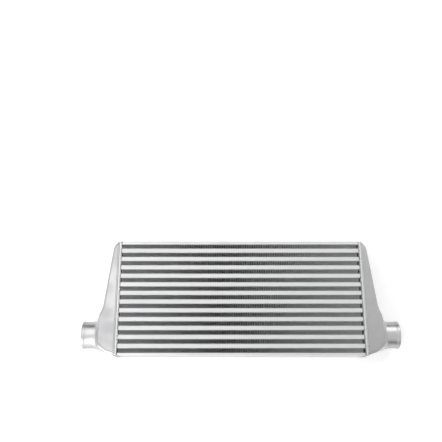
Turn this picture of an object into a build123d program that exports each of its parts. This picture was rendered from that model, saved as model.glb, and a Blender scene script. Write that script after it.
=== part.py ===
from build123d import *
import math
import os

# Bar-and-plate intercooler, in millimetres.  It lies on its back face: X runs along the core from
# the left tank to the right one, Y up the stack from the neck end to the narrow end, and +Z is the
# way the front face looks.  The origin is the middle of the outline, on the back face's plane.

# Core
core_length = 600.0
core_height = 277.5
core_depth = 76.0
air_rows = 13
fin_height = 11.1
fin_gauge = 0.3
fin_leg_pitch = 7.5
fin_recess = 1.5
bar_width = 6.0
bar_edge = 0.8
end_bar_width = 6.0
sheet_thickness = 0.6
top_plate_thickness = 7.5
bottom_plate_thickness = 4.5
plate_edge = 1.0
turbulator_gauge = 0.3
turbulator_leg_pitch = 3.2
turbulator_recess = 2.0
fit_gap = 0.3

# Cast end tanks: reach is measured out from the end of the core
tank_wall = 4.0
tank_inset = 1.5
tank_edge_radius = 7.0
collar_length = 5.0
shoulder_reach = 15.5
shoulder_drop = 10.5
shoulder_radius = 25.0
knee_reach = 35.5
knee_above_neck = 63.0
knee_radius = 60.0
heel_below_axis = 26.8
heel_radius = 10.0
sole_reach = 27.0
sole_rise = 7.2
sole_radius = 50.0
body_reach = 50.0
throat_step = 0.5

# Hose necks
neck_height = 50.5
neck_radius = 32.0
neck_bore_radius = 28.5
neck_reach = 84.0
neck_overlap = 6.0
root_rise = 4.0
root_length = 9.0
bead_rise = 1.2
bead_land = 5.0
bead_slope = 2.0
lip_chamfer = 1.0

# Weld round each tank's rim
weld_rise = 1.5
weld_sink = 0.2
weld_edge = 0.7

# How far an edge may be from a plane and still be picked as lying on it
pick_margin = 0.01

# The stack between the two side plates is shared by the air rows and the tubes between them
stack_height = core_height - bottom_plate_thickness - top_plate_thickness
tube_rows = air_rows - 1
tube_height = (stack_height - air_rows * fin_height) / tube_rows
bar_height = tube_height - 2 * sheet_thickness
row_pitch = fin_height + tube_height
core_end = core_length / 2
core_bottom = -core_height / 2
core_top = core_height / 2
mid_depth = core_depth / 2
neck_axis_y = core_bottom + neck_height
tank_back = tank_inset
tank_front = core_depth - tank_inset


def fin_level(row):
    """Underside of an air row; row 0 is the lowest."""
    return core_bottom + bottom_plate_thickness + row * row_pitch


def tube_level(row):
    """Underside of a charge-air tube's lower parting sheet."""
    return fin_level(row) + fin_height


def slab(x_span, y_span, z_span):
    """A rectangular piece between three pairs of coordinates."""
    sizes = [high - low for low, high in (x_span, y_span, z_span)]
    middle = [(high + low) / 2 for low, high in (x_span, y_span, z_span)]
    return Pos(*middle) * Box(*sizes)


def edges_on(edges, axis, level):
    """The edges that lie on the plane across an axis at a level."""
    return edges.filter_by_position(axis, level - pick_margin, level + pick_margin)


def folded_section(length, height, gauge, leg_pitch):
    """Section of a strip folded to and fro between two sheets, with an even number of legs.

    A slanted leg of the strip measures `rise` along the height, which follows from its gauge.
    """
    legs = 2 * max(1, round(length / (2 * leg_pitch)))
    run = length / legs
    ratio = (gauge / run) ** 2
    a = 1 - ratio
    b = 2 * height * ratio
    c = -(gauge**2 + height**2 * ratio)
    rise = (-b + math.sqrt(b * b - 4 * a * c)) / (2 * a)
    under = []
    over = []
    for fold in range(legs + 1):
        along = -length / 2 + fold * run
        foot = (height - rise) * (fold % 2)
        under.append((along, foot))
        over.append((along, foot + rise))
    return make_face(Polyline(*under, *reversed(over), close=True))


def air_fin(row):
    """Corrugated fin: its folds run along the core, and the air passes through along Z."""
    length = core_length - 2 * (end_bar_width + fit_gap)
    section = folded_section(length, fin_height, fin_gauge, fin_leg_pitch)
    deep = core_depth - 2 * fin_recess
    return Pos(0, fin_level(row), fin_recess) * extrude(section, deep)


def turbulator(row):
    """Inner fin of a charge-air tube: its folds run across the tube, and the charge passes along X."""
    width = core_depth - 2 * (bar_width + fit_gap)
    section = folded_section(width, bar_height, turbulator_gauge, turbulator_leg_pitch)
    length = core_length - 2 * turbulator_recess
    corner = (-length / 2, tube_level(row) + sheet_thickness, mid_depth)
    plane = Plane(origin=corner, x_dir=(0, 0, -1), z_dir=(1, 0, 0))
    return extrude(plane * section, length)


def long_bar(row, front):
    """Bar that closes one side of a charge-air tube, with its two outer edges eased."""
    low = tube_level(row) + sheet_thickness
    z_span = (core_depth - bar_width, core_depth) if front else (0, bar_width)
    face_z = core_depth if front else 0
    bar = slab((-core_end, core_end), (low, low + bar_height), z_span)
    long_edges = bar.edges().filter_by(Axis.X)
    return chamfer(edges_on(long_edges, Axis.Z, face_z), bar_edge)


def parting_sheets():
    """The brazing sheets, one each side of every charge-air tube."""
    sheets = []
    for row in range(tube_rows):
        for low in (tube_level(row), tube_level(row) + sheet_thickness + bar_height):
            sheets.append(slab((-core_end, core_end), (low, low + sheet_thickness), (0, core_depth)))
    return Compound(children=sheets)


def end_bars(side):
    """The short bars that close the air rows at one end of the core."""
    x_span = sorted((side * core_end, side * (core_end - end_bar_width)))
    bars = []
    for row in range(air_rows):
        low = fin_level(row)
        bars.append(slab(x_span, (low, low + fin_height), (0, core_depth)))
    return Compound(children=bars)


def side_plate(low, high, outer):
    """Plate over the stack's last air row, with its two outer long edges eased."""
    plate = slab((-core_end, core_end), (low, high), (0, core_depth))
    long_edges = plate.edges().filter_by(Axis.X)
    return chamfer(edges_on(long_edges, Axis.Y, outer), plate_edge)


def tank_outline():
    """Front outline of the right tank's flat-sided body, from its rim out to the neck."""
    neck_top = neck_axis_y + neck_radius
    shoulder = (core_end + shoulder_reach, core_top - shoulder_drop)
    knee = (core_end + knee_reach, neck_axis_y + knee_above_neck)
    heel = (core_end + body_reach, neck_axis_y - heel_below_axis)
    sole = (core_end + sole_reach, core_bottom + sole_rise)
    corners = [
        (core_end, core_bottom),
        (core_end, core_top),
        (core_end + collar_length, core_top),
        shoulder,
        knee,
        (core_end + body_reach, neck_top),
        heel,
        sole,
        (core_end + collar_length, core_bottom),
    ]
    rounded = [
        (shoulder, shoulder_radius),
        (knee, knee_radius),
        (heel, heel_radius),
        (sole, sole_radius),
    ]
    outline = make_face(Polyline(*corners, close=True))
    for corner, radius in rounded:
        nearest = outline.vertices().sort_by_distance(Vector(*corner, 0))[0]
        outline = fillet(nearest, radius)
    return outline


def tank_section(reach, low, high, margin, radius):
    """Rounded rectangle across the tank at a reach from the core, drawn in by a margin."""
    centre = (core_end + reach, (low + high) / 2, mid_depth)
    plane = Plane(origin=centre, x_dir=(0, 1, 0), z_dir=(1, 0, 0))
    deep = tank_front - tank_back - 2 * margin
    return plane * RectangleRounded(high - low - 2 * margin, deep, radius)


def neck_section(reach, radius):
    """Circle across the neck at a reach from the core."""
    centre = (core_end + reach, neck_axis_y, mid_depth)
    return Plane(origin=centre, x_dir=(0, 1, 0), z_dir=(1, 0, 0)) * Circle(radius)


def tank_body(outline):
    """Flat-sided body with its outer edges rounded front and back."""
    body = Pos(0, 0, tank_back) * extrude(outline, tank_front - tank_back)
    rounded = []
    for face_z in (tank_back, tank_front):
        around = edges_on(body.edges(), Axis.Z, face_z)
        rounded += [edge for edge in around if edge.center().X > core_end + pick_margin]
    return fillet(rounded, tank_edge_radius)


def tank_throat(margin, radius, neck):
    """Square-to-round passage from inside the collar to the neck, a small step below the flat sides."""
    high = neck_axis_y + neck_height
    wide = tank_section(collar_length / 2, core_bottom, high, margin + throat_step, radius)
    return loft([wide, neck_section(body_reach, neck)], ruled=True)


def neck_spigot():
    """Turned outside of the hose neck: root, plain length, raised bead and eased lip."""
    bead_radius = neck_radius + bead_rise
    bead_start = neck_reach - lip_chamfer - bead_land
    profile = [
        (body_reach - neck_overlap, 0),
        (body_reach - neck_overlap, neck_radius + root_rise),
        (body_reach, neck_radius + root_rise),
        (body_reach + root_length, neck_radius),
        (bead_start - bead_slope, neck_radius),
        (bead_start, bead_radius),
        (neck_reach - lip_chamfer, bead_radius),
        (neck_reach, bead_radius - lip_chamfer),
        (neck_reach, 0),
    ]
    plane = Plane(origin=(core_end, neck_axis_y, mid_depth), x_dir=(1, 0, 0), z_dir=(0, -1, 0))
    axis = Axis((core_end, neck_axis_y, mid_depth), (1, 0, 0))
    return revolve(plane * make_face(Polyline(*profile, close=True)), axis)


def right_tank():
    """Hollow casting, open at the rim that meets the core and at the neck's mouth."""
    outline = tank_outline()
    outside = tank_body(outline) + tank_throat(0, tank_edge_radius, neck_radius + root_rise)
    outside += neck_spigot()
    hollow = offset(outline, -tank_wall)
    rim_gap = (core_height / 2 - tank_wall) * 2
    hollow += Pos(core_end + collar_length / 2, 0) * Rectangle(collar_length, rim_gap)
    inside = Pos(0, 0, tank_back + tank_wall) * extrude(hollow, tank_front - tank_back - 2 * tank_wall)
    inside += tank_throat(tank_wall, tank_edge_radius - tank_wall, neck_bore_radius)
    inside += extrude(neck_section(body_reach - neck_overlap, neck_bore_radius), neck_reach)
    return outside - inside


def right_weld():
    """Bead laid round the tank's collar, against the end of the core."""
    crest = mid_depth - weld_sink
    centre = (core_end, 0, mid_depth)
    plane = Plane(origin=centre, x_dir=(0, 1, 0), z_dir=(1, 0, 0))
    outer = plane * RectangleRounded(core_height + 2 * weld_rise, 2 * crest, tank_edge_radius + weld_rise)
    bead = chamfer(extrude(outer, collar_length).edges().group_by(Axis.X)[-1], weld_edge)
    return bead - extrude(tank_section(0, core_bottom, core_top, 0, tank_edge_radius), collar_length)


def mirrored(shape):
    return mirror(shape, about=Plane.YZ)


def save(name, shape):
    shape.label = name
    export_step(shape, f"parts/{name}.step")


os.makedirs("parts", exist_ok=True)

save("bottom_side_plate", side_plate(core_bottom, core_bottom + bottom_plate_thickness, core_bottom))
save("top_side_plate", side_plate(core_top - top_plate_thickness, core_top, core_top))
for row in range(air_rows):
    save(f"air_fin_{row + 1:02d}", air_fin(row))
for row in range(tube_rows):
    save(f"front_bar_{row + 1:02d}", long_bar(row, True))
    save(f"back_bar_{row + 1:02d}", long_bar(row, False))
    save(f"turbulator_{row + 1:02d}", turbulator(row))
save("parting_sheets", parting_sheets())
save("left_end_bars", end_bars(-1))
save("right_end_bars", end_bars(1))

tank = right_tank()
weld = right_weld()
save("right_tank", tank)
save("left_tank", mirrored(tank))
save("right_weld", weld)
save("left_weld", mirrored(weld))
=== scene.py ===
import bisect
import math

import bmesh
import bpy
from mathutils import Matrix, Vector, noise


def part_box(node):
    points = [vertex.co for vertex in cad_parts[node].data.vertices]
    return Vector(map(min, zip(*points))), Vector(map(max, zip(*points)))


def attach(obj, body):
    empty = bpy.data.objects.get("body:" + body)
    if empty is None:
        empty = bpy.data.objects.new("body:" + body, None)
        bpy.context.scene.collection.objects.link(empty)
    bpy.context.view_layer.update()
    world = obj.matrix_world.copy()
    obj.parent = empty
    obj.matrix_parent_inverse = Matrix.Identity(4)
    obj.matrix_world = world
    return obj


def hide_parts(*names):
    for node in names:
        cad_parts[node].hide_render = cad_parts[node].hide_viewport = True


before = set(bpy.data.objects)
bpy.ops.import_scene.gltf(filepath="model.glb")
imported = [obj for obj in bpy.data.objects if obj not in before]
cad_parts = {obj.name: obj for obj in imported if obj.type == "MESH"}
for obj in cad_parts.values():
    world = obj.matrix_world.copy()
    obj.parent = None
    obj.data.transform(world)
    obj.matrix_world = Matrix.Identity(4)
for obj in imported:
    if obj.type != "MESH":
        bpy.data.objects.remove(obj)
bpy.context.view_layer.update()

bl_info = {
    "name": "Intercooler",
    "version": (1, 0, 0),
    "blender": (4, 5, 0),
    "location": "3D View > Sidebar > Intercooler",
    "description": "Dresses a bar-and-plate intercooler: finned core, cast tanks, welds and studio",
    "category": "Object",
}

# Names and places of the solids, in metres
AIR_ROWS = [f"air_fin_{row:02d}" for row in range(1, 14)]
TUBE_ROWS = [f"{row:02d}" for row in range(1, 13)]
CORE_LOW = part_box("bottom_side_plate")[0]
CORE_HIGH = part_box("top_side_plate")[1]
CORE_END = CORE_HIGH.x
MID_DEPTH = (CORE_LOW.z + CORE_HIGH.z) / 2
NECK_RADIUS = 0.032
NECK_HEIGHT = 0.0505  # from the core's lower edge up to the neck's axis
TANK_LOW, TANK_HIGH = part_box("right_tank")
ROW_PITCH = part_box("air_fin_02")[0].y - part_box("air_fin_01")[0].y
FIRST_TUBE = (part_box("front_bar_01")[0].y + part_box("front_bar_01")[1].y) / 2
BAR_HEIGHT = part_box("front_bar_01")[1].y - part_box("front_bar_01")[0].y
MERGE_DISTANCE = 1e-5
SHADE_EDGE = 0.003  # width over which the floor's glow ends under the core
SENSOR_WIDTH = 36.0  # millimetres
NO_SHARP_EDGES = 180.0  # degrees

# Unevenness of hand work: waves of noise per metre, per row or round a rim, and their strengths
LEAN_ALONG = 70.0
LEAN_BACK = 14.0
LEAN_PER_ROW = 7.3
LEAN_HELD = 0.75  # at head and foot, where the walls are brazed
LEAN_REACH = 2.0  # brings the noise's usual peaks of a half up to one
WANDER_WAVES = 90.0
WANDER_SEED = 3.1
RIPPLE_WANDER = 0.35
BEAD_HEIGHT_SWAY = 0.10
BEAD_EDGE_WAVES = 160.0
BEAD_EDGE_SEED = 9.0
BEAD_EDGE_SWAY = 0.05
RIPPLE_FRONT = 0.7  # below one, a ripple rises steeper than it falls


def length(name, description, default, low=0.0, high=1.0):
    """A size in metres."""
    return bpy.props.FloatProperty(
        name=name, description=description, default=default, min=low, max=high,
        precision=5, unit="LENGTH",
    )


def factor(name, description, default, low=0.0, high=1.0):
    """A plain number."""
    return bpy.props.FloatProperty(
        name=name, description=description, default=default, min=low, max=high, subtype="FACTOR",
    )


def colour(name, description, default):
    """A linear colour."""
    return bpy.props.FloatVectorProperty(
        name=name, description=description, default=default, min=0.0, max=1.0, size=3,
        subtype="COLOR",
    )


def power(name, description, default):
    """A lamp's power in watts."""
    return bpy.props.FloatProperty(
        name=name, description=description, default=default, min=0.0, unit="POWER",
    )


def studio_place(name, description, default):
    """A place in the studio, in metres."""
    return bpy.props.FloatVectorProperty(
        name=name, description=description, default=default, size=3, subtype="TRANSLATION", unit="LENGTH",
    )


def count(name, description, default, low, high):
    """A whole number."""
    return bpy.props.IntProperty(name=name, description=description, default=default, min=low, max=high)


class FinSizes(bpy.types.PropertyGroup):
    """Sizes of the folded air fins."""

    wall_pitch: length("Wall pitch", "Mean distance from one fin wall to the next", 0.0029)
    foil: length("Foil", "Thickness of the fin strip", 0.00013)
    fold_corner: length("Fold corner", "Size of the eased corner at each fold", 0.0006)
    lead_in: length("Lead-in", "Straight part of a wall behind the face", 0.014)
    wave_height: length("Wave height", "How far the walls weave to each side", 0.0005)
    pairing: factor("Pairing", "How far the walls draw together in pairs, as a share of their pitch", 0.45)
    skew: length("Skew", "How far a strip's back edge sits to the right of its front edge", 0.0024)
    waves: count("Bends", "Bends in a wall from front to back", 6, 1, 20)
    lean: length("Lean", "How far handling has pushed the walls out of line", 0.00035)


class CoreFinish(bpy.types.PropertyGroup):
    """Finish of the core's bars, plates, sheets and fins."""

    fin: colour("Fin", "Bare fin foil", (0.93, 0.932, 0.935))
    fin_dull: colour("Dull fin", "Fin foil dulled by brazing", (0.86, 0.863, 0.866))
    bar: colour("Bar", "Face of a brazed bar", (0.72, 0.72, 0.72))
    bar_middle: colour("Bar middle", "Stain along the middle of a bar", (0.65, 0.655, 0.66))
    stain_full: factor("Stain full", "Share of a bar's half height that the stain covers wholly", 0.15)
    stain_end: factor("Stain end", "Share of a bar's half height at which the stain has faded", 0.75)
    plate: colour("Plate", "Rolled side plate", (0.70, 0.70, 0.705))
    plate_dull: colour("Dull plate", "Streaks in a side plate", (0.59, 0.59, 0.6))
    sheet: colour("Sheet", "Brazed edge of a parting sheet", (0.74, 0.745, 0.75))
    inner_fin: colour("Inner fin", "Fins inside the charge-air tubes", (0.42, 0.42, 0.42))
    # The dark line at the core's ends is partly soot from welding and partly painted shade of the gap at
    # the weld toe.
    toe_shade_and_soot: colour("Toe shade and soot", "Dark line left by the welding at the core's ends", (0.15, 0.15, 0.15))
    worn: colour("Worn edge", "Edges of bars and plates that rubbing has brightened", (0.92, 0.92, 0.92))


class TankFinish(bpy.types.PropertyGroup):
    """Shape and finish of the cast end tanks, and colours of their welds."""

    voxel: length("Detail", "Grain of the casting's mesh", 0.0012, low=0.0004)
    soften: count("Softness", "How far the mould has rounded every edge", 3, 0, 20)
    root_soften: count("Root softness", "How far the neck blends into the body", 50, 0, 200)
    root_closing: factor("Root closing", "How far the softening closes in on the root's middle", 0.75)
    root_start: length("Root start", "Reach from the core at which the root's softening starts", 0.022)
    root_end: length("Root end", "Reach from the core at which the root's softening ends", 0.068)
    neck_start: length("Neck start", "Reach from the core up to which the root is wholly soft", 0.046)
    neck_plain: length("Neck plain", "Reach from the core from which the neck is plain", 0.057)
    bead_soften: count("Bead softness", "How far the corners of the neck's bead are eased", 12, 0, 60)
    bead_start: length("Bead start", "Reach from the core at which the bead's easing starts", 0.068)
    bead_end: length("Bead end", "Reach from the core at which the bead's easing ends", 0.081)
    draw_start: length("Draw start", "Reach from the core at which the body draws in to the neck", 0.041)
    draw_full: length("Draw full", "Reach from the core from which it is wholly drawn in", 0.050)
    drawn: factor("Drawn in", "Share of what stands out beyond the neck that is drawn in", 0.8)
    drawn_above: factor("Drawn above", "Share of the drawing in that the upper and lower sides get", 0.4)
    sand_end: length("Sand end", "Reach from the core at which the sandy skin gives way", 0.045)
    lathe_start: length("Lathe start", "Reach from the core from which the skin is turned", 0.055)
    lathe_lines: count("Lathe lines", "Turned lines in a metre of the neck", 2600, 100, 9000)
    lathe_height: factor("Lathe height", "Height of the turned lines over the sand's", 0.12)
    parting_top: length("Parting top", "Half the width of the parting line's flat top", 0.0002)
    parting_foot: length("Parting foot", "Half the width of the parting line at its foot", 0.0009)
    parting_height: factor("Parting height", "Height of the parting line over the sand's", 1.6, high=5.0)
    side_polish: factor("Side polish", "How much less rough the sides and rounded edges are", 0.14)
    metal: colour("Cast metal", "Fettled face of the casting", (0.41, 0.41, 0.415))
    # Painted highlight: a lighter colour on the casting's sides and rounded edges.
    painted_side_highlight: colour("Painted side highlight", "Sides and rounded edges of the casting", (0.54, 0.54, 0.545))
    metal_dull: colour("Dull metal", "Duller patches of the casting", (0.36, 0.36, 0.365))
    neck: colour("Neck", "Turned hose neck", (0.53, 0.53, 0.535))
    worn: colour("Worn edge", "Edges of the casting that rubbing has brightened", (0.85, 0.85, 0.86))
    weld: colour("Weld", "Crests of the weld bead", (0.62, 0.62, 0.625))
    # Painted shade: this dark colour fills the bead's edges at the toe, as well as the sooty valleys
    # between ripples.
    weld_toe_shade_and_soot: colour("Weld toe shade and soot", "Valleys between the weld's ripples", (0.17, 0.17, 0.17))


class WeldSizes(bpy.types.PropertyGroup):
    """Sizes of the weld bead round each tank's rim."""

    width: length("Width", "Width of the bead", 0.0047)
    height: length("Height", "Height of the bead", 0.0019)
    sink: length("Sink", "How deep the bead's edges lie below the collar", 0.0006)
    corner: length("Corner", "Rounding of the collar's corners", 0.007)
    ripple: length("Ripple", "Length of one ripple", 0.0052)
    ripple_depth: factor("Ripple depth", "Depth of the ripples as a share of the bead's height", 0.5)
    curve: factor("Ripple curve", "How far a ripple's middle runs ahead of its ends", 0.8)
    samples: count("Samples", "Rings of the mesh in one ripple", 7, 3, 12)
    sides: count("Sides", "Sides of each ring of the mesh", 10, 6, 32)


class StudioSettings(bpy.types.PropertyGroup):
    """Floor, lights and camera."""

    floor: colour("Floor", "Pale floor", (0.86, 0.86, 0.86))
    floor_reach: length("Floor reach", "Distance from the middle to each edge of the floor", 6.0, high=20.0)
    floor_glow: factor("Floor glow", "Share of the backdrop's white in the floor by the object", 0.44)
    floor_fade: factor("Floor fade", "Share of the backdrop's white in the floor further off", 0.72)
    glow_near: length("Glow near", "Distance at which the floor starts to fade into the backdrop", 0.15)
    glow_far: length("Glow far", "Distance at which the floor has faded", 0.5)
    glow_oval: factor("Glow oval", "Shrinking of the distances along the object's length", 0.45)
    room: factor("Room light", "Level of the even light from all round", 0.38)
    key_place: studio_place("Key place", "Place of the panel above the left", (-0.7, 0.5, 1.5))
    key_size: length("Key size", "Side of the panel above the left", 1.4, high=5.0)
    key_power: power("Key power", "Power of the panel above the left", 9.4)
    fill_place: studio_place("Fill place", "Place of the low panel at the front left", (-0.88, -1.45, 0.55))
    fill_size: length("Fill size", "Side of the low panel at the front left", 1.7, high=5.0)
    fill_power: power("Fill power", "Power of the low panel at the front left", 26.5)
    rim_place: studio_place("Rim place", "Place of the panel behind the right", (0.85, 1.15, 1.05))
    rim_size: length("Rim size", "Side of the panel behind the right", 1.1, high=5.0)
    rim_power: power("Rim power", "Power of the panel behind the right", 7.0)
    flag: colour("Flag", "Grey boards in front of and behind the object", (0.04, 0.04, 0.04))
    flag_length: length("Flag length", "Length of each board", 5.2, high=9.0)
    flag_height: length("Flag height", "Height of each board", 1.3, high=3.0)
    flag_distance: length("Flag distance", "Distance of the boards from the middle", 2.2, high=6.0)
    matt: factor("Matt", "Roughness of the floor and the boards", 0.9)
    camera_place: studio_place("Camera place", "Place of the camera", (-0.0478, -0.2595, 1.5263))
    lens: bpy.props.FloatProperty(
        name="Lens", description="Focal length on a 36 mm sensor", default=49.0, min=10.0, unit="CAMERA",
    )
    camera_tilt: bpy.props.FloatProperty(
        name="Tilt", description="Camera's tilt from looking straight down",
        default=math.radians(17.3), subtype="ANGLE",
    )


PROPERTY_GROUPS = {
    "intercooler_fins": FinSizes,
    "intercooler_core": CoreFinish,
    "intercooler_tanks": TankFinish,
    "intercooler_welds": WeldSizes,
    "intercooler_studio": StudioSettings,
}


# Shader building


def add_node(tree, kind, values=None, **settings):
    """A node of a kind, with its settings and the values or links of its inputs."""
    node = tree.nodes.new(kind)
    for name, value in settings.items():
        setattr(node, name, value)
    for name, value in (values or {}).items():
        if isinstance(value, bpy.types.NodeSocket):
            tree.links.new(value, node.inputs[name])
        else:
            node.inputs[name].default_value = value
    return node


def calc(tree, operation, *values, clamp=False):
    """The output of a Math node."""
    return add_node(
        tree, "ShaderNodeMath", dict(enumerate(values)), operation=operation, use_clamp=clamp
    ).outputs[0]


def mixed(tree, first, share, second):
    """Two tones mixed, by the share of the first."""
    rest = calc(tree, "MULTIPLY", second, 1.0 - share)
    return calc(tree, "ADD", calc(tree, "MULTIPLY", first, share), rest)


def axes_of(tree, vector):
    """The X, Y and Z outputs of a vector."""
    return add_node(tree, "ShaderNodeSeparateXYZ", {"Vector": vector}).outputs


def noise_tone(tree, vector, scale, detail=2.0, roughness=0.5):
    """A cloudy tone from noise that runs through space."""
    return add_node(
        tree, "ShaderNodeTexNoise",
        {"Vector": vector, "Scale": scale, "Detail": detail, "Roughness": roughness},
    ).outputs[0]


def spread(tree, value, low, high, to_low=0.0, to_high=1.0):
    """A value's range mapped smoothly onto another, and held at its ends."""
    node = add_node(
        tree, "ShaderNodeMapRange",
        {"Value": value, "From Min": low, "From Max": high, "To Min": to_low, "To Max": to_high},
        interpolation_type="SMOOTHSTEP",
    )
    return node.outputs["Result"]


def blend_colours(tree, share, first, second):
    """A colour between two, by a share that varies over the surface."""
    node = add_node(
        tree, "ShaderNodeMix", {"Factor": share}, data_type="RGBA", clamp_factor=True
    )
    for slot, value in ((6, first), (7, second)):
        if isinstance(value, bpy.types.NodeSocket):
            tree.links.new(value, node.inputs[slot])
        else:
            node.inputs[slot].default_value = (*value, 1.0)
    return node.outputs[2]


def group_tree(name, inputs, outputs):
    """An empty node group with named sockets, and its input and output nodes."""
    tree = bpy.data.node_groups.new(name, "ShaderNodeTree")
    for title, kind, default in inputs:
        socket = tree.interface.new_socket(title, in_out="INPUT", socket_type=kind)
        if default is not None:
            socket.default_value = default
    for title, kind in outputs:
        tree.interface.new_socket(title, in_out="OUTPUT", socket_type=kind)
    return tree, tree.nodes.new("NodeGroupInput").outputs, tree.nodes.new("NodeGroupOutput").inputs


def place_group(tree, name, values):
    """A node group's outputs, placed in a material with its own values."""
    node = tree.nodes.new("ShaderNodeGroup")
    node.node_tree = bpy.data.node_groups[name]
    for title, value in values.items():
        if isinstance(value, bpy.types.NodeSocket):
            tree.links.new(value, node.inputs[title])
        else:
            node.inputs[title].default_value = value
    return node.outputs


def build_drawn_grain():
    """Fine lines and slow streaks along the way a bar or plate was drawn."""
    tree, given, result = group_tree(
        "Drawn grain",
        [
            ("Vector", "NodeSocketVector", None),
            ("Lines", "NodeSocketFloat", 900.0),
            ("Stretch", "NodeSocketFloat", 0.02),
        ],
        [("Tone", "NodeSocketFloat"), ("Height", "NodeSocketFloat")],
    )
    stretch = add_node(tree, "ShaderNodeCombineXYZ", {"X": given["Stretch"], "Y": 1.0, "Z": 1.0})
    along = add_node(
        tree, "ShaderNodeVectorMath", {0: given["Vector"], 1: stretch.outputs[0]}, operation="MULTIPLY"
    ).outputs[0]
    fine = noise_tone(tree, along, given["Lines"], detail=3.0)
    slow = noise_tone(tree, along, calc(tree, "MULTIPLY", given["Lines"], 0.16), detail=4.0)
    tree.links.new(spread(tree, mixed(tree, fine, 0.45, slow), 0.34, 0.66), result["Tone"])
    tree.links.new(fine, result["Height"])


def build_cast_skin():
    """Sandy skin of a casting: fine grains, sparse pits and slow cloudiness."""
    tree, given, result = group_tree(
        "Cast skin",
        [
            ("Vector", "NodeSocketVector", None),
            ("Grains", "NodeSocketFloat", 1100.0),
            ("Pits", "NodeSocketFloat", 260.0),
        ],
        [("Tone", "NodeSocketFloat"), ("Height", "NodeSocketFloat")],
    )
    grains = noise_tone(tree, given["Vector"], given["Grains"], detail=3.0)
    pits = add_node(
        tree, "ShaderNodeTexVoronoi", {"Vector": given["Vector"], "Scale": given["Pits"]}
    ).outputs["Distance"]
    pit_floor = spread(tree, pits, 0.02, 0.16)
    cloud = noise_tone(tree, given["Vector"], 22.0, detail=5.0)
    tree.links.new(spread(tree, mixed(tree, grains, 0.35, cloud), 0.36, 0.62), result["Tone"])
    tree.links.new(mixed(tree, grains, 0.6, pit_floor), result["Height"])


def build_edge_wear():
    """Where rubbing has brightened the outer edges."""
    tree, given, result = group_tree(
        "Edge wear",
        [("Vector", "NodeSocketVector", None), ("Width", "NodeSocketFloat", 0.0008)],
        [("Mask", "NodeSocketFloat")],
    )
    bevel = add_node(tree, "ShaderNodeBevel", {"Radius": given["Width"]}, samples=4).outputs[0]
    face = tree.nodes.new("ShaderNodeNewGeometry").outputs["Normal"]
    turn = add_node(
        tree, "ShaderNodeVectorMath", {0: bevel, 1: face}, operation="DOT_PRODUCT"
    ).outputs["Value"]
    edge = spread(tree, calc(tree, "SUBTRACT", 1.0, turn), 0.01, 0.16)
    patches = noise_tone(tree, given["Vector"], 160.0, detail=4.0)
    tree.links.new(calc(tree, "MULTIPLY", edge, spread(tree, patches, 0.38, 0.6)), result["Mask"])


def build_dust():
    """Thin grey film that has settled in patches."""
    tree, given, result = group_tree(
        "Dust",
        [("Vector", "NodeSocketVector", None), ("Scale", "NodeSocketFloat", 30.0)],
        [("Mask", "NodeSocketFloat")],
    )
    patches = noise_tone(tree, given["Vector"], given["Scale"], detail=6.0, roughness=0.6)
    tree.links.new(spread(tree, patches, 0.42, 0.72), result["Mask"])


def build_weld_toe_shade_and_soot():
    """Broken dark line on the core where the end welds stopped, heaviest low down: partly soot from their
    heat, partly painted shade of the gap at the weld toe.
    """
    tree, given, result = group_tree(
        "Weld toe shade and soot",
        [
            ("Vector", "NodeSocketVector", None),
            ("Line", "NodeSocketFloat", 0.295),
            ("Width", "NodeSocketFloat", 0.0022),
        ],
        [("Mask", "NodeSocketFloat")],
    )
    axes = axes_of(tree, given["Vector"])
    off_middle = calc(tree, "ABSOLUTE", axes["X"])
    off_line = calc(tree, "ABSOLUTE", calc(tree, "SUBTRACT", off_middle, given["Line"]))
    line = spread(tree, off_line, calc(tree, "MULTIPLY", given["Width"], 0.4), given["Width"], 1.0, 0.0)
    specks = noise_tone(tree, given["Vector"], 240.0)
    # The line grows darker towards the core's lower edge.
    low_down = spread(tree, axes["Y"], CORE_LOW.y, CORE_LOW.y + 0.03, 0.8, 0.0)
    strength = calc(tree, "ADD", spread(tree, specks, 0.38, 0.6, 0.3, 1.0), low_down, clamp=True)
    tree.links.new(calc(tree, "MULTIPLY", line, strength), result["Mask"])


def new_material(name, **shader_values):
    """A material with a Principled shader whose even values are set on its own sockets."""
    material = bpy.data.materials.new(name)
    material.use_nodes = True
    tree = material.node_tree
    shader = tree.nodes["Principled BSDF"]
    for title, value in shader_values.items():
        shader.inputs[title.replace("_", " ")].default_value = value
    place = tree.nodes.new("ShaderNodeTexCoord").outputs["Object"]
    return material, tree, shader, place


def raise_surface(tree, shader, height, distance, strength):
    """Feeds a height to the shader's normal."""
    bump = add_node(tree, "ShaderNodeBump", {"Height": height, "Distance": distance, "Strength": strength})
    tree.links.new(bump.outputs[0], shader.inputs["Normal"])


def fin_material(finish):
    """Thin bare foil, dulled in patches by brazing."""
    material, tree, shader, place = new_material("Fin foil", Metallic=0.15)
    dust = place_group(tree, "Dust", {"Vector": place, "Scale": 45.0})["Mask"]
    grain = place_group(tree, "Drawn grain", {"Vector": place, "Lines": 500.0, "Stretch": 1.0})["Tone"]
    share = mixed(tree, dust, 0.6, grain)
    tree.links.new(blend_colours(tree, share, finish.fin, finish.fin_dull), shader.inputs["Base Color"])
    tree.links.new(spread(tree, share, 0.0, 1.0, 0.34, 0.5), shader.inputs["Roughness"])
    return material


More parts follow.
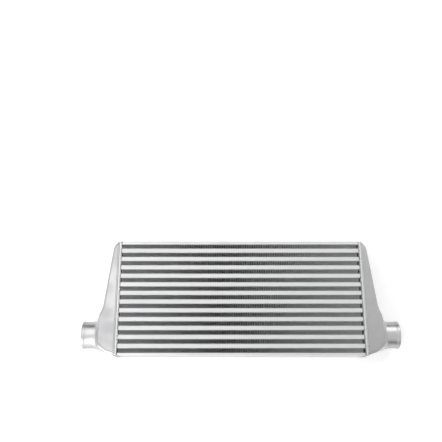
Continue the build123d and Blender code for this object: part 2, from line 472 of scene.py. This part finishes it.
def bar_material(finish):
    """Drawn bar, whitened by brazing at its edges and stained along its middle."""
    material, tree, shader, place = new_material("Bar face", Metallic=0.35)
    grain = place_group(tree, "Drawn grain", {"Vector": place, "Lines": 1300.0, "Stretch": 0.03})
    wear = place_group(tree, "Edge wear", {"Vector": place, "Width": 0.0007})["Mask"]
    height = axes_of(tree, place)["Y"]
    row = calc(tree, "DIVIDE", calc(tree, "SUBTRACT", height, FIRST_TUBE - ROW_PITCH / 2), ROW_PITCH)
    off_middle = calc(tree, "ABSOLUTE", calc(tree, "SUBTRACT", calc(tree, "FRACT", row), 0.5))
    half_bar = BAR_HEIGHT / ROW_PITCH / 2
    middle = spread(
        tree, off_middle, half_bar * finish.stain_full, half_bar * finish.stain_end, 1.0, 0.0
    )
    dust = place_group(tree, "Dust", {"Vector": place, "Scale": 26.0})["Mask"]
    stain = calc(tree, "MULTIPLY", middle, mixed(tree, dust, 0.45, 1.0))
    streaks = calc(tree, "MULTIPLY", grain["Tone"], 0.3)
    share = calc(tree, "ADD", stain, streaks, clamp=True)
    toned = blend_colours(tree, share, finish.bar, finish.bar_middle)
    worn = blend_colours(tree, wear, toned, finish.worn)
    # Dark line at the weld toe: partly soot, partly painted shade.
    toe_shade_and_soot = place_group(tree, "Weld toe shade and soot", {"Vector": place})["Mask"]
    tree.links.new(blend_colours(tree, toe_shade_and_soot, worn, finish.toe_shade_and_soot), shader.inputs["Base Color"])
    tree.links.new(spread(tree, grain["Tone"], 0.0, 1.0, 0.42, 0.58), shader.inputs["Roughness"])
    raise_surface(tree, shader, grain["Height"], distance=0.00008, strength=0.5)
    return material


def plate_material(finish):
    """Rolled side plate with long streaks, smudges and bright edges."""
    material, tree, shader, place = new_material("Side plate", Metallic=0.4)
    grain = place_group(tree, "Drawn grain", {"Vector": place, "Lines": 700.0, "Stretch": 0.015})
    dust = place_group(tree, "Dust", {"Vector": place, "Scale": 14.0})["Mask"]
    wear = place_group(tree, "Edge wear", {"Vector": place, "Width": 0.0010})["Mask"]
    share = mixed(tree, grain["Tone"], 0.6, dust)
    toned = blend_colours(tree, share, finish.plate, finish.plate_dull)
    worn = blend_colours(tree, wear, toned, finish.worn)
    # Dark line at the weld toe: partly soot, partly painted shade.
    toe_shade_and_soot = place_group(tree, "Weld toe shade and soot", {"Vector": place})["Mask"]
    tree.links.new(blend_colours(tree, toe_shade_and_soot, worn, finish.toe_shade_and_soot), shader.inputs["Base Color"])
    tree.links.new(spread(tree, share, 0.0, 1.0, 0.36, 0.56), shader.inputs["Roughness"])
    raise_surface(tree, shader, grain["Height"], distance=0.0001, strength=0.5)
    return material


def sheet_material(finish):
    """Edge of a brazing sheet, where the filler has flowed and set."""
    material, tree, shader, place = new_material("Sheet edge", Metallic=0.7)
    grain = place_group(tree, "Drawn grain", {"Vector": place, "Lines": 600.0, "Stretch": 0.25})
    toned = blend_colours(tree, grain["Tone"], finish.sheet, finish.bar_middle)
    # Dark line at the weld toe: partly soot, partly painted shade.
    toe_shade_and_soot = place_group(tree, "Weld toe shade and soot", {"Vector": place})["Mask"]
    tree.links.new(blend_colours(tree, toe_shade_and_soot, toned, finish.toe_shade_and_soot), shader.inputs["Base Color"])
    tree.links.new(spread(tree, grain["Tone"], 0.0, 1.0, 0.3, 0.5), shader.inputs["Roughness"])
    raise_surface(tree, shader, grain["Height"], distance=0.0002, strength=0.6)
    return material


def inner_fin_material(finish):
    """Fins inside the tubes, dull from brazing."""
    material, tree, shader, place = new_material("Inner fin", Metallic=0.8)
    dust = place_group(tree, "Dust", {"Vector": place, "Scale": 90.0})["Mask"]
    tree.links.new(
        blend_colours(tree, dust, finish.inner_fin, finish.fin_dull), shader.inputs["Base Color"]
    )
    tree.links.new(spread(tree, dust, 0.0, 1.0, 0.4, 0.55), shader.inputs["Roughness"])
    return material


def tank_material(finish):
    """Casting with a sandy skin, a parting line at half depth, a smoother neck, and a painted highlight on
    its sides and rounded edges.
    """
    material, tree, shader, place = new_material("Cast tank", Metallic=0.9)
    skin = place_group(tree, "Cast skin", {"Vector": place})
    wear = place_group(tree, "Edge wear", {"Vector": place, "Width": 0.0012})["Mask"]
    axes = axes_of(tree, place)
    reach = calc(tree, "SUBTRACT", calc(tree, "ABSOLUTE", axes["X"]), CORE_END)
    turned = spread(tree, reach, finish.sand_end, finish.lathe_start)
    facing = axes_of(tree, tree.nodes.new("ShaderNodeTexCoord").outputs["Normal"])["Z"]
    # Painted highlight on the sides and rounded edges, which are also made less rough.
    side_highlight_and_polish = spread(tree, calc(tree, "ABSOLUTE", facing), 0.7, 0.97, 1.0, 0.0)
    face = blend_colours(tree, skin["Tone"], finish.metal, finish.metal_dull)
    cast = blend_colours(tree, side_highlight_and_polish, face, finish.painted_side_highlight)
    outwards = add_node(tree, "ShaderNodeCombineXYZ", {"X": axes["X"]}).outputs[0]
    lathe = noise_tone(tree, outwards, finish.lathe_lines)
    smooth = blend_colours(tree, lathe, finish.neck, finish.metal)
    toned = blend_colours(tree, turned, cast, smooth)
    tree.links.new(blend_colours(tree, wear, toned, finish.worn), shader.inputs["Base Color"])
    rough_skin = spread(tree, skin["Tone"], 0.0, 1.0, 0.32, 0.46)
    rubbed = calc(tree, "MULTIPLY", calc(tree, "SUBTRACT", 1.0, turned), side_highlight_and_polish)
    rough = calc(tree, "SUBTRACT", rough_skin, calc(tree, "MULTIPLY", rubbed, finish.side_polish))
    tree.links.new(rough, shader.inputs["Roughness"])
    off_parting = calc(tree, "ABSOLUTE", calc(tree, "SUBTRACT", axes["Z"], MID_DEPTH))
    parting = spread(tree, off_parting, finish.parting_top, finish.parting_foot, 1.0, 0.0)
    skin_height = calc(tree, "MULTIPLY", skin["Height"], calc(tree, "SUBTRACT", 1.0, turned))
    lathe_height = calc(tree, "MULTIPLY", lathe, calc(tree, "MULTIPLY", turned, finish.lathe_height))
    relief = calc(tree, "ADD", skin_height, lathe_height)
    relief = calc(tree, "ADD", relief, calc(tree, "MULTIPLY", parting, finish.parting_height))
    raise_surface(tree, shader, relief, distance=0.00018, strength=0.7)
    return material


def weld_material(finish):
    """Bead with bright crests and sooty valleys, and edges darkened with painted shade at the weld toe."""
    material, tree, shader, place = new_material("Weld bead", Metallic=0.85)
    crest = add_node(tree, "ShaderNodeAttribute", attribute_name="crest").outputs["Fac"]
    skin = place_group(tree, "Cast skin", {"Vector": place, "Grains": 1500.0})
    # The bead's edges get painted shade at the toe; its valleys are soot.
    toned = blend_colours(tree, spread(tree, crest, 0.3, 0.8), finish.weld_toe_shade_and_soot, finish.weld)
    tree.links.new(
        blend_colours(tree, calc(tree, "MULTIPLY", skin["Tone"], 0.35), toned, finish.metal_dull),
        shader.inputs["Base Color"],
    )
    tree.links.new(spread(tree, crest, 0.0, 1.0, 0.5, 0.3), shader.inputs["Roughness"])
    raise_surface(tree, shader, skin["Height"], distance=0.0001, strength=0.5)
    return material


# Mesh building


def add_piece(name, bm, material, stands_for=(), sharp_angle=35.0):
    """Turns a bmesh into a finished piece that rides on the object."""
    mesh = bpy.data.meshes.new(name)
    bm.to_mesh(mesh)
    bm.free()
    mesh.shade_smooth()
    mesh.set_sharp_from_angle(angle=math.radians(sharp_angle))
    mesh.materials.append(material)
    piece = bpy.data.objects.new(name, mesh)
    bpy.context.scene.collection.objects.link(piece)
    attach(piece, "root")
    if stands_for:
        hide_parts(*stands_for)
    return piece


def dress_nodes(names, material):
    """Gives CAD nodes their finished material."""
    for name in names:
        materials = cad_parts[name].data.materials
        materials.clear()
        materials.append(material)


def fold_levels(sizes, low_z, high_z):
    """Depth and sideways place of each bend in a fin wall, from front to back."""
    levels = [(high_z, 0.0)]
    run = (high_z - low_z - 2 * sizes.lead_in) / sizes.waves
    for bend in range(sizes.waves + 1):
        side = sizes.wave_height * (1 if bend % 2 else -1)
        levels.append((high_z - sizes.lead_in - bend * run, side))
    levels.append((low_z, -sizes.wave_height))
    middle = (low_z + high_z) / 2
    return [(z, side + sizes.skew * (middle - z) / (high_z - low_z)) for z, side in levels]


def fin_strip(sizes, low, high):
    """One strip of foil folded to and fro between two sheets, with weaving walls."""
    folds = round((high.x - low.x) / (2 * sizes.wall_pitch))
    margin = sizes.wave_height + sizes.skew / 2
    period = (high.x - low.x - 2 * margin) / folds
    ease = sizes.fold_corner
    foot = low.y + sizes.foil
    head = high.y - sizes.foil
    first = period * (0.25 + sizes.pairing / 4)
    second = period * (0.75 - sizes.pairing / 4)
    outline = [
        (0.0, foot), (first - ease, foot), (first, foot + ease), (first, head - ease),
        (first + ease, head), (second - ease, head), (second, head - ease), (second, foot + ease),
        (second + ease, foot), (period, foot),
    ]
    start = low.x + margin
    levels = fold_levels(sizes, low.z, high.z)
    bm = bmesh.new()
    line = [bm.verts.new((start + levels[0][1] + x, y, levels[0][0])) for x, y in outline]
    edges = [bm.edges.new(pair) for pair in zip(line, line[1:])]
    for (z, side), (last_z, last_side) in zip(levels[1:], levels):
        made = bmesh.ops.extrude_edge_only(bm, edges=edges)["geom"]
        corners = [part for part in made if isinstance(part, bmesh.types.BMVert)]
        bmesh.ops.translate(bm, verts=corners, vec=(side - last_side, 0.0, z - last_z))
        edges = [part for part in made if isinstance(part, bmesh.types.BMEdge)]
    unit = bm.verts[:] + bm.edges[:] + bm.faces[:]
    bmesh.ops.spin(
        bm, geom=unit, cent=(0, 0, 0), axis=(0, 0, 1), dvec=(period, 0.0, 0.0), angle=0.0,
        steps=folds - 1, use_duplicate=True,
    )
    bmesh.ops.remove_doubles(bm, verts=bm.verts, dist=MERGE_DISTANCE)
    bmesh.ops.recalc_face_normals(bm, faces=bm.faces)
    bmesh.ops.solidify(bm, geom=bm.faces[:], thickness=sizes.foil)
    bmesh.ops.recalc_face_normals(bm, faces=bm.faces)
    return bm


def lean_walls(bm, sizes, row, low, high):
    """Pushes the walls a little out of line, least where they are brazed at head and foot."""
    middle = (low.y + high.y) / 2
    half = (high.y - low.y) / 2
    for vert in bm.verts:
        place = vert.co
        sway = noise.noise(Vector((place.x * LEAN_ALONG, row * LEAN_PER_ROW, place.z * LEAN_BACK)))
        hold = 1.0 - LEAN_HELD * abs(place.y - middle) / half
        place.x += sizes.lean * LEAN_REACH * sway * hold
        place.x = min(max(place.x, low.x), high.x)


def warp_to_collar(bm, sizes, rim, radius):
    """Turns a round ring into a rippled bead that follows the tank's rounded collar."""
    half_y, half_z, corner = rim
    straight_y, straight_z = 2 * (half_y - corner), 2 * (half_z - corner)
    quarter = corner * math.pi / 2
    around = 2 * (straight_y + straight_z) + 4 * quarter
    ripples = round(around / sizes.ripple)
    crest = bm.verts.layers.float.new("crest")
    for vert in bm.verts:
        turn = math.atan2(vert.co.z, vert.co.y) % (2 * math.pi)
        out = math.hypot(vert.co.y, vert.co.z) - radius
        share = turn / (2 * math.pi)
        across = 2 * vert.co.x / sizes.width
        ahead = sizes.curve * across * across
        wander = noise.noise(Vector((share * WANDER_WAVES, WANDER_SEED, 0.0)))
        phase = (share * ripples + ahead + RIPPLE_WANDER * wander) % 1.0
        swell = math.sin(math.pi * phase ** RIPPLE_FRONT)
        lift = 1.0 - sizes.ripple_depth * (1.0 - swell)
        # crest is lowest in the valleys and at the bead's edges, which the weld material darkens: soot in
        # the valleys, painted shade at the toe.
        vert[crest] = swell * max(0.0, out / sizes.height)
        height = out * lift * (1.0 + BEAD_HEIGHT_SWAY * wander) if out > 0 else out
        point, normal = collar_point(share * around, half_y, half_z, corner)
        sway = noise.noise(Vector((share * BEAD_EDGE_WAVES, across, BEAD_EDGE_SEED)))
        edge_sway = 1.0 + BEAD_EDGE_SWAY * sway
        vert.co = Vector((
            CORE_END + sizes.width / 2 + vert.co.x * edge_sway,
            point[0] + normal[0] * (height - sizes.sink),
            MID_DEPTH + point[1] + normal[1] * (height - sizes.sink),
        ))


def collar_point(travel, half_y, half_z, corner):
    """Place and outward direction at a distance along a rounded rectangle, from the middle of +Y."""
    flat_y, flat_z = half_y - corner, half_z - corner
    quarter = corner * math.pi / 2
    runs = [
        (flat_z, (half_y, 0.0), (0.0, 1.0), None),
        (quarter, (flat_y, flat_z), None, 0.0),
        (2 * flat_y, (flat_y, half_z), (-1.0, 0.0), None),
        (quarter, (-flat_y, flat_z), None, math.pi / 2),
        (2 * flat_z, (-half_y, flat_z), (0.0, -1.0), None),
        (quarter, (-flat_y, -flat_z), None, math.pi),
        (2 * flat_y, (-flat_y, -half_z), (1.0, 0.0), None),
        (quarter, (flat_y, -flat_z), None, 3 * math.pi / 2),
        (flat_z, (half_y, -flat_z), (0.0, 1.0), None),
    ]
    for run, origin, heading, start_angle in runs:
        if travel <= run:
            break
        travel -= run
    if heading is None:
        angle = start_angle + travel / corner
        normal = (math.cos(angle), math.sin(angle))
        return (origin[0] + corner * normal[0], origin[1] + corner * normal[1]), normal
    normal = (heading[1], -heading[0])
    return (origin[0] + heading[0] * travel, origin[1] + heading[1] * travel), normal


def weld_ring(sizes):
    """Bead round the right tank's collar."""
    rim = (CORE_HIGH.y, (TANK_HIGH.z - TANK_LOW.z) / 2, sizes.corner)
    radius = 0.1  # of the round ring, before it is warped to the collar
    around = 2 * (2 * rim[0] + 2 * rim[1])
    steps = round(around / sizes.ripple) * sizes.samples
    bm = bmesh.new()
    made = bmesh.ops.create_circle(bm, segments=sizes.sides, radius=1.0)["verts"]
    bmesh.ops.scale(bm, verts=made, vec=(sizes.width / 2, sizes.height, 1.0))
    bmesh.ops.translate(bm, verts=made, vec=(0.0, radius, 0.0))
    bmesh.ops.spin(
        bm, geom=bm.verts[:] + bm.edges[:], cent=(0, 0, 0), axis=(1, 0, 0),
        angle=2 * math.pi, steps=steps, use_merge=True,
    )
    bmesh.ops.remove_doubles(bm, verts=bm.verts, dist=MERGE_DISTANCE)
    warp_to_collar(bm, sizes, rim, radius)
    bmesh.ops.recalc_face_normals(bm, faces=bm.faces)
    return bm


def mirror_across(bm):
    """Turns a piece at the right end into its twin at the left."""
    bmesh.ops.scale(bm, verts=bm.verts, vec=(-1.0, 1.0, 1.0))
    bmesh.ops.reverse_faces(bm, faces=bm.faces)


def remeshed(bm, voxel):
    """The bmesh rebuilt as one even skin."""
    mesh = bpy.data.meshes.new("casting_blank")
    bm.to_mesh(mesh)
    bm.free()
    blank = bpy.data.objects.new("casting_blank", mesh)
    bpy.context.scene.collection.objects.link(blank)
    modifier = blank.modifiers.new("Remesh", "REMESH")
    modifier.mode = "VOXEL"
    modifier.voxel_size = voxel
    bpy.context.view_layer.update()
    skin = blank.evaluated_get(bpy.context.evaluated_depsgraph_get()).to_mesh()
    made = bmesh.new()
    made.from_mesh(skin)
    bpy.data.objects.remove(blank)
    bpy.data.meshes.remove(mesh)
    return made


def casting(name, finish):
    """A tank's solid as a softly rounded casting that blends into its neck."""
    bm = bmesh.new()
    bm.from_mesh(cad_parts[name].data)
    bmesh.ops.remove_doubles(bm, verts=bm.verts, dist=MERGE_DISTANCE)
    bm = remeshed(bm, finish.voxel)
    for _ in range(finish.soften):
        soften(bm, bm.verts)
    outwards = sorted(bm.verts, key=lambda vert: abs(vert.co.x))
    reaches = [abs(vert.co.x) - CORE_END for vert in outwards]
    blend_root(bm, finish, outwards, reaches)
    ease_bead(bm, finish, outwards, reaches)
    draw_in_end(finish, outwards, reaches)
    return bm


def soften(bm, verts):
    """One pass that evens out the skin at some of its points."""
    bmesh.ops.smooth_vert(bm, verts=verts, factor=0.5, use_axis_x=True, use_axis_y=True, use_axis_z=True)


def between(reaches, low, high):
    """The stretch of the sorted reaches that lies between two of them."""
    return slice(bisect.bisect(reaches, low), bisect.bisect(reaches, high))


def blend_root(bm, finish, outwards, reaches):
    """Softens the skin between body and neck, closing in on its middle, and leaves the neck plain."""
    plain = [vert.co.copy() for vert in outwards]
    middle = (finish.root_start + finish.root_end) / 2
    for step in range(finish.root_soften):
        share = finish.root_closing * step / finish.root_soften
        low = finish.root_start + share * (middle - finish.root_start)
        high = finish.root_end + share * (middle - finish.root_end)
        soften(bm, outwards[between(reaches, low, high)])
    for vert, turned, reach in zip(outwards, plain, reaches):
        share = (reach - finish.neck_start) / (finish.neck_plain - finish.neck_start)
        vert.co = vert.co.lerp(turned, min(max(share, 0.0), 1.0))


def ease_bead(bm, finish, outwards, reaches):
    """Rounds the corners of the neck's raised bead."""
    bead = outwards[between(reaches, finish.bead_start, finish.bead_end)]
    for _ in range(finish.bead_soften):
        soften(bm, bead)


def draw_in_end(finish, outwards, reaches):
    """Draws the end of the body in towards the neck, most at its front and back."""
    end = between(reaches, finish.draw_start, finish.bead_start)
    for vert, reach in zip(outwards[end], reaches[end]):
        across = Vector((0.0, vert.co.y - CORE_LOW.y - NECK_HEIGHT, vert.co.z - MID_DEPTH))
        extra = across.length - NECK_RADIUS
        if extra <= 0:
            continue
        done = min((reach - finish.draw_start) / (finish.draw_full - finish.draw_start), 1.0)
        done *= done * (3 - 2 * done)
        done *= max(abs(across.z) / across.length, finish.drawn_above)
        vert.co -= across.normalized() * (extra * finish.drawn * done)


# Operators


class INTERCOOLER_OT_finishes(bpy.types.Operator):
    """Build the shared finish effects and every material"""

    bl_idname = "intercooler.finishes"
    bl_label = "Make finishes"

    def execute(self, context):
        for build in (build_drawn_grain, build_cast_skin, build_edge_wear, build_dust, build_weld_toe_shade_and_soot):
            build()
        core = context.scene.intercooler_core
        tanks = context.scene.intercooler_tanks
        for make in (fin_material, bar_material, plate_material, sheet_material, inner_fin_material):
            make(core)
        for make in (tank_material, weld_material):
            make(tanks)
        return {"FINISHED"}


class INTERCOOLER_OT_core(bpy.types.Operator):
    """Finish the core's bars, plates, sheets and inner fins"""

    bl_idname = "intercooler.core"
    bl_label = "Finish core"

    def execute(self, context):
        materials = bpy.data.materials
        bars = [f"{side}_bar_{row}" for side in ("front", "back") for row in TUBE_ROWS]
        dress_nodes(bars + ["left_end_bars", "right_end_bars"], materials["Bar face"])
        dress_nodes(["bottom_side_plate", "top_side_plate"], materials["Side plate"])
        dress_nodes(["parting_sheets"], materials["Sheet edge"])
        dress_nodes([f"turbulator_{row}" for row in TUBE_ROWS], materials["Inner fin"])
        return {"FINISHED"}


class INTERCOOLER_OT_air_fins(bpy.types.Operator):
    """Fold a fine, weaving fin strip into every air row"""

    bl_idname = "intercooler.air_fins"
    bl_label = "Fold air fins"

    def execute(self, context):
        sizes = context.scene.intercooler_fins
        low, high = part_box(AIR_ROWS[0])
        strip = fin_strip(sizes, low, high)
        flat = bpy.data.meshes.new("fin_strip")
        strip.to_mesh(flat)
        strip.free()
        for row, name in enumerate(AIR_ROWS):
            bm = bmesh.new()
            bm.from_mesh(flat)
            lean_walls(bm, sizes, row, low, high)
            bmesh.ops.translate(bm, verts=bm.verts, vec=(0.0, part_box(name)[0].y - low.y, 0.0))
            add_piece(f"fine_{name}", bm, bpy.data.materials["Fin foil"], [name])
        bpy.data.meshes.remove(flat)
        return {"FINISHED"}


class INTERCOOLER_OT_tanks(bpy.types.Operator):
    """Cast the two end tanks"""

    bl_idname = "intercooler.tanks"
    bl_label = "Cast tanks"

    def execute(self, context):
        finish = context.scene.intercooler_tanks
        for side in ("left", "right"):
            bm = casting(f"{side}_tank", finish)
            add_piece(
                f"{side}_tank_casting", bm, bpy.data.materials["Cast tank"],
                [f"{side}_tank"], sharp_angle=NO_SHARP_EDGES,
            )
        return {"FINISHED"}


class INTERCOOLER_OT_welds(bpy.types.Operator):
    """Lay a rippled bead round each tank's rim"""

    bl_idname = "intercooler.welds"
    bl_label = "Lay welds"

    def execute(self, context):
        sizes = context.scene.intercooler_welds
        for side in ("right", "left"):
            bm = weld_ring(sizes)
            if side == "left":
                mirror_across(bm)
            add_piece(
                f"{side}_weld_bead", bm, bpy.data.materials["Weld bead"],
                [f"{side}_weld"], sharp_angle=NO_SHARP_EDGES,
            )
        return {"FINISHED"}


class INTERCOOLER_OT_studio(bpy.types.Operator):
    """Set up the pale floor, the soft lights and the camera"""

    bl_idname = "intercooler.studio"
    bl_label = "Set up studio"

    def execute(self, context):
        settings = context.scene.intercooler_studio
        lay_floor(settings)
        light_room(context.scene, settings)
        add_lights(settings)
        add_flags(settings)
        add_camera(context.scene, settings)
        context.scene.view_settings.view_transform = "Standard"
        return {"FINISHED"}


def backdrop_rays(tree):
    """One for rays that show the backdrop: seen directly, mirrored or through glass."""
    rays = tree.nodes.new("ShaderNodeLightPath").outputs
    seen = calc(tree, "MAXIMUM", rays["Is Camera Ray"], rays["Is Glossy Ray"])
    return calc(tree, "MAXIMUM", seen, rays["Is Transmission Ray"])


def linked_object(name, bm, material):
    """An object in the scene made from a bmesh, with one material."""
    mesh = bpy.data.meshes.new(name)
    bm.to_mesh(mesh)
    bm.free()
    mesh.materials.append(material)
    thing = bpy.data.objects.new(name, mesh)
    bpy.context.scene.collection.objects.link(thing)
    return thing


def lay_floor(settings):
    """A wide pale floor that shows soft shadows and fades into the white backdrop."""
    material, tree, shader, place = new_material(
        "Floor", Base_Color=(*settings.floor, 1.0), Roughness=settings.matt, Specular_IOR_Level=0.0,
        Emission_Color=(1.0, 1.0, 1.0, 1.0),
    )
    oval = add_node(
        tree, "ShaderNodeVectorMath", {0: place, 1: (settings.glow_oval, 1.0, 0.0)}, operation="MULTIPLY"
    ).outputs[0]
    away = add_node(tree, "ShaderNodeVectorMath", {0: oval}, operation="LENGTH").outputs["Value"]
    fade = spread(
        tree, away, settings.glow_near, settings.glow_far, settings.floor_glow, settings.floor_fade
    )
    axes = axes_of(tree, place)
    beside = spread(tree, calc(tree, "ABSOLUTE", axes["X"]), CORE_END - SHADE_EDGE, CORE_END)
    before = spread(tree, calc(tree, "ABSOLUTE", axes["Y"]), CORE_HIGH.y - SHADE_EDGE, CORE_HIGH.y)
    open_floor = calc(tree, "MULTIPLY", fade, calc(tree, "MAXIMUM", beside, before))
    glow = calc(tree, "MULTIPLY", backdrop_rays(tree), open_floor)
    tree.links.new(glow, shader.inputs["Emission Strength"])
    bm = bmesh.new()
    bmesh.ops.create_grid(bm, x_segments=1, y_segments=1, size=settings.floor_reach)
    floor = linked_object("floor", bm, material)


def light_room(scene, settings):
    """Even light from all round, behind a white backdrop."""
    world = bpy.data.worlds.new("Studio")
    scene.world = world
    world.use_nodes = True
    tree = world.node_tree
    background = tree.nodes["Background"]
    background.inputs["Color"].default_value = (1.0, 1.0, 1.0, 1.0)
    extra = calc(tree, "MULTIPLY", backdrop_rays(tree), 1.0 - settings.room)
    tree.links.new(calc(tree, "ADD", extra, settings.room), background.inputs["Strength"])


def add_panel(name, spot, side, watts):
    """A square light panel that faces the object."""
    light = bpy.data.lights.new(name, "AREA")
    light.shape = "SQUARE"
    light.size = side
    light.energy = watts
    lamp = bpy.data.objects.new(name, light)
    lamp.location = spot
    lamp.rotation_euler = (-lamp.location).to_track_quat("-Z", "Y").to_euler()
    bpy.context.scene.collection.objects.link(lamp)


def add_lights(settings):
    """A panel above the left, a large low one at the front left and a smaller one behind the right."""
    add_panel("key", settings.key_place, settings.key_size, settings.key_power)
    add_panel("fill", settings.fill_place, settings.fill_size, settings.fill_power)
    add_panel("rim", settings.rim_place, settings.rim_size, settings.rim_power)


def add_flag(name, settings, side, material):
    """A low grey board that stands to one side of the object."""
    bm = bmesh.new()
    board = bmesh.ops.create_grid(bm, x_segments=1, y_segments=1, size=0.5)["verts"]
    bmesh.ops.scale(bm, verts=board, vec=(settings.flag_length, settings.flag_height, 1.0))
    upright = Matrix.Rotation(side * math.pi / 2, 3, "X")
    bmesh.ops.rotate(bm, verts=board, cent=(0, 0, 0), matrix=upright)
    spot = (0.0, side * settings.flag_distance, settings.flag_height / 2)
    bmesh.ops.translate(bm, verts=board, vec=spot)
    flag = linked_object(name, bm, material)
    flag.visible_camera = False


def add_flags(settings):
    """Grey boards that give bare metal something dark to mirror and that the camera doesn't see."""
    material = new_material("Flag", Base_Color=(*settings.flag, 1.0), Roughness=settings.matt)[0]
    add_flag("back_flag", settings, 1, material)
    add_flag("front_flag", settings, -1, material)


def add_camera(scene, settings):
    """A camera that looks down on the front face from the neck side."""
    camera = bpy.data.cameras.new("camera")
    camera.lens = settings.lens
    camera.sensor_width = SENSOR_WIDTH
    camera.clip_start = 0.01
    holder = bpy.data.objects.new("camera", camera)
    holder.location = settings.camera_place
    holder.rotation_euler = (settings.camera_tilt, 0.0, 0.0)
    scene.collection.objects.link(holder)
    scene.camera = holder


class INTERCOOLER_PT_panel(bpy.types.Panel):
    """Sizes and colours of the intercooler, and the steps that build it"""

    bl_idname = "INTERCOOLER_PT_panel"
    bl_label = "Intercooler"
    bl_space_type = "VIEW_3D"
    bl_region_type = "UI"
    bl_category = "Intercooler"

    def draw(self, context):
        for attribute, group in PROPERTY_GROUPS.items():
            box = self.layout.box()
            box.label(text=group.__doc__)
            for title in group.__annotations__:
                box.prop(getattr(context.scene, attribute), title)
        for step in STEPS:
            self.layout.operator(step.bl_idname)


STEPS = (
    INTERCOOLER_OT_finishes,
    INTERCOOLER_OT_core,
    INTERCOOLER_OT_air_fins,
    INTERCOOLER_OT_tanks,
    INTERCOOLER_OT_welds,
    INTERCOOLER_OT_studio,
)


def register():
    """Adds the sizes, the steps and the panel to Blender."""
    for group in PROPERTY_GROUPS.values():
        bpy.utils.register_class(group)
    for attribute, group in PROPERTY_GROUPS.items():
        setattr(bpy.types.Scene, attribute, bpy.props.PointerProperty(type=group))
    for step in STEPS:
        bpy.utils.register_class(step)
    bpy.utils.register_class(INTERCOOLER_PT_panel)


def unregister():
    """Takes the panel, the steps and the sizes out of Blender again."""
    bpy.utils.unregister_class(INTERCOOLER_PT_panel)
    for step in reversed(STEPS):
        bpy.utils.unregister_class(step)
    for attribute, group in reversed(PROPERTY_GROUPS.items()):
        delattr(bpy.types.Scene, attribute)
        bpy.utils.unregister_class(group)


def main():
    """Dresses the object."""
    register()
    bpy.ops.intercooler.finishes()
    bpy.ops.intercooler.core()
    bpy.ops.intercooler.air_fins()
    bpy.ops.intercooler.tanks()
    bpy.ops.intercooler.welds()
    bpy.ops.intercooler.studio()


if __name__ == "__main__":
    main()
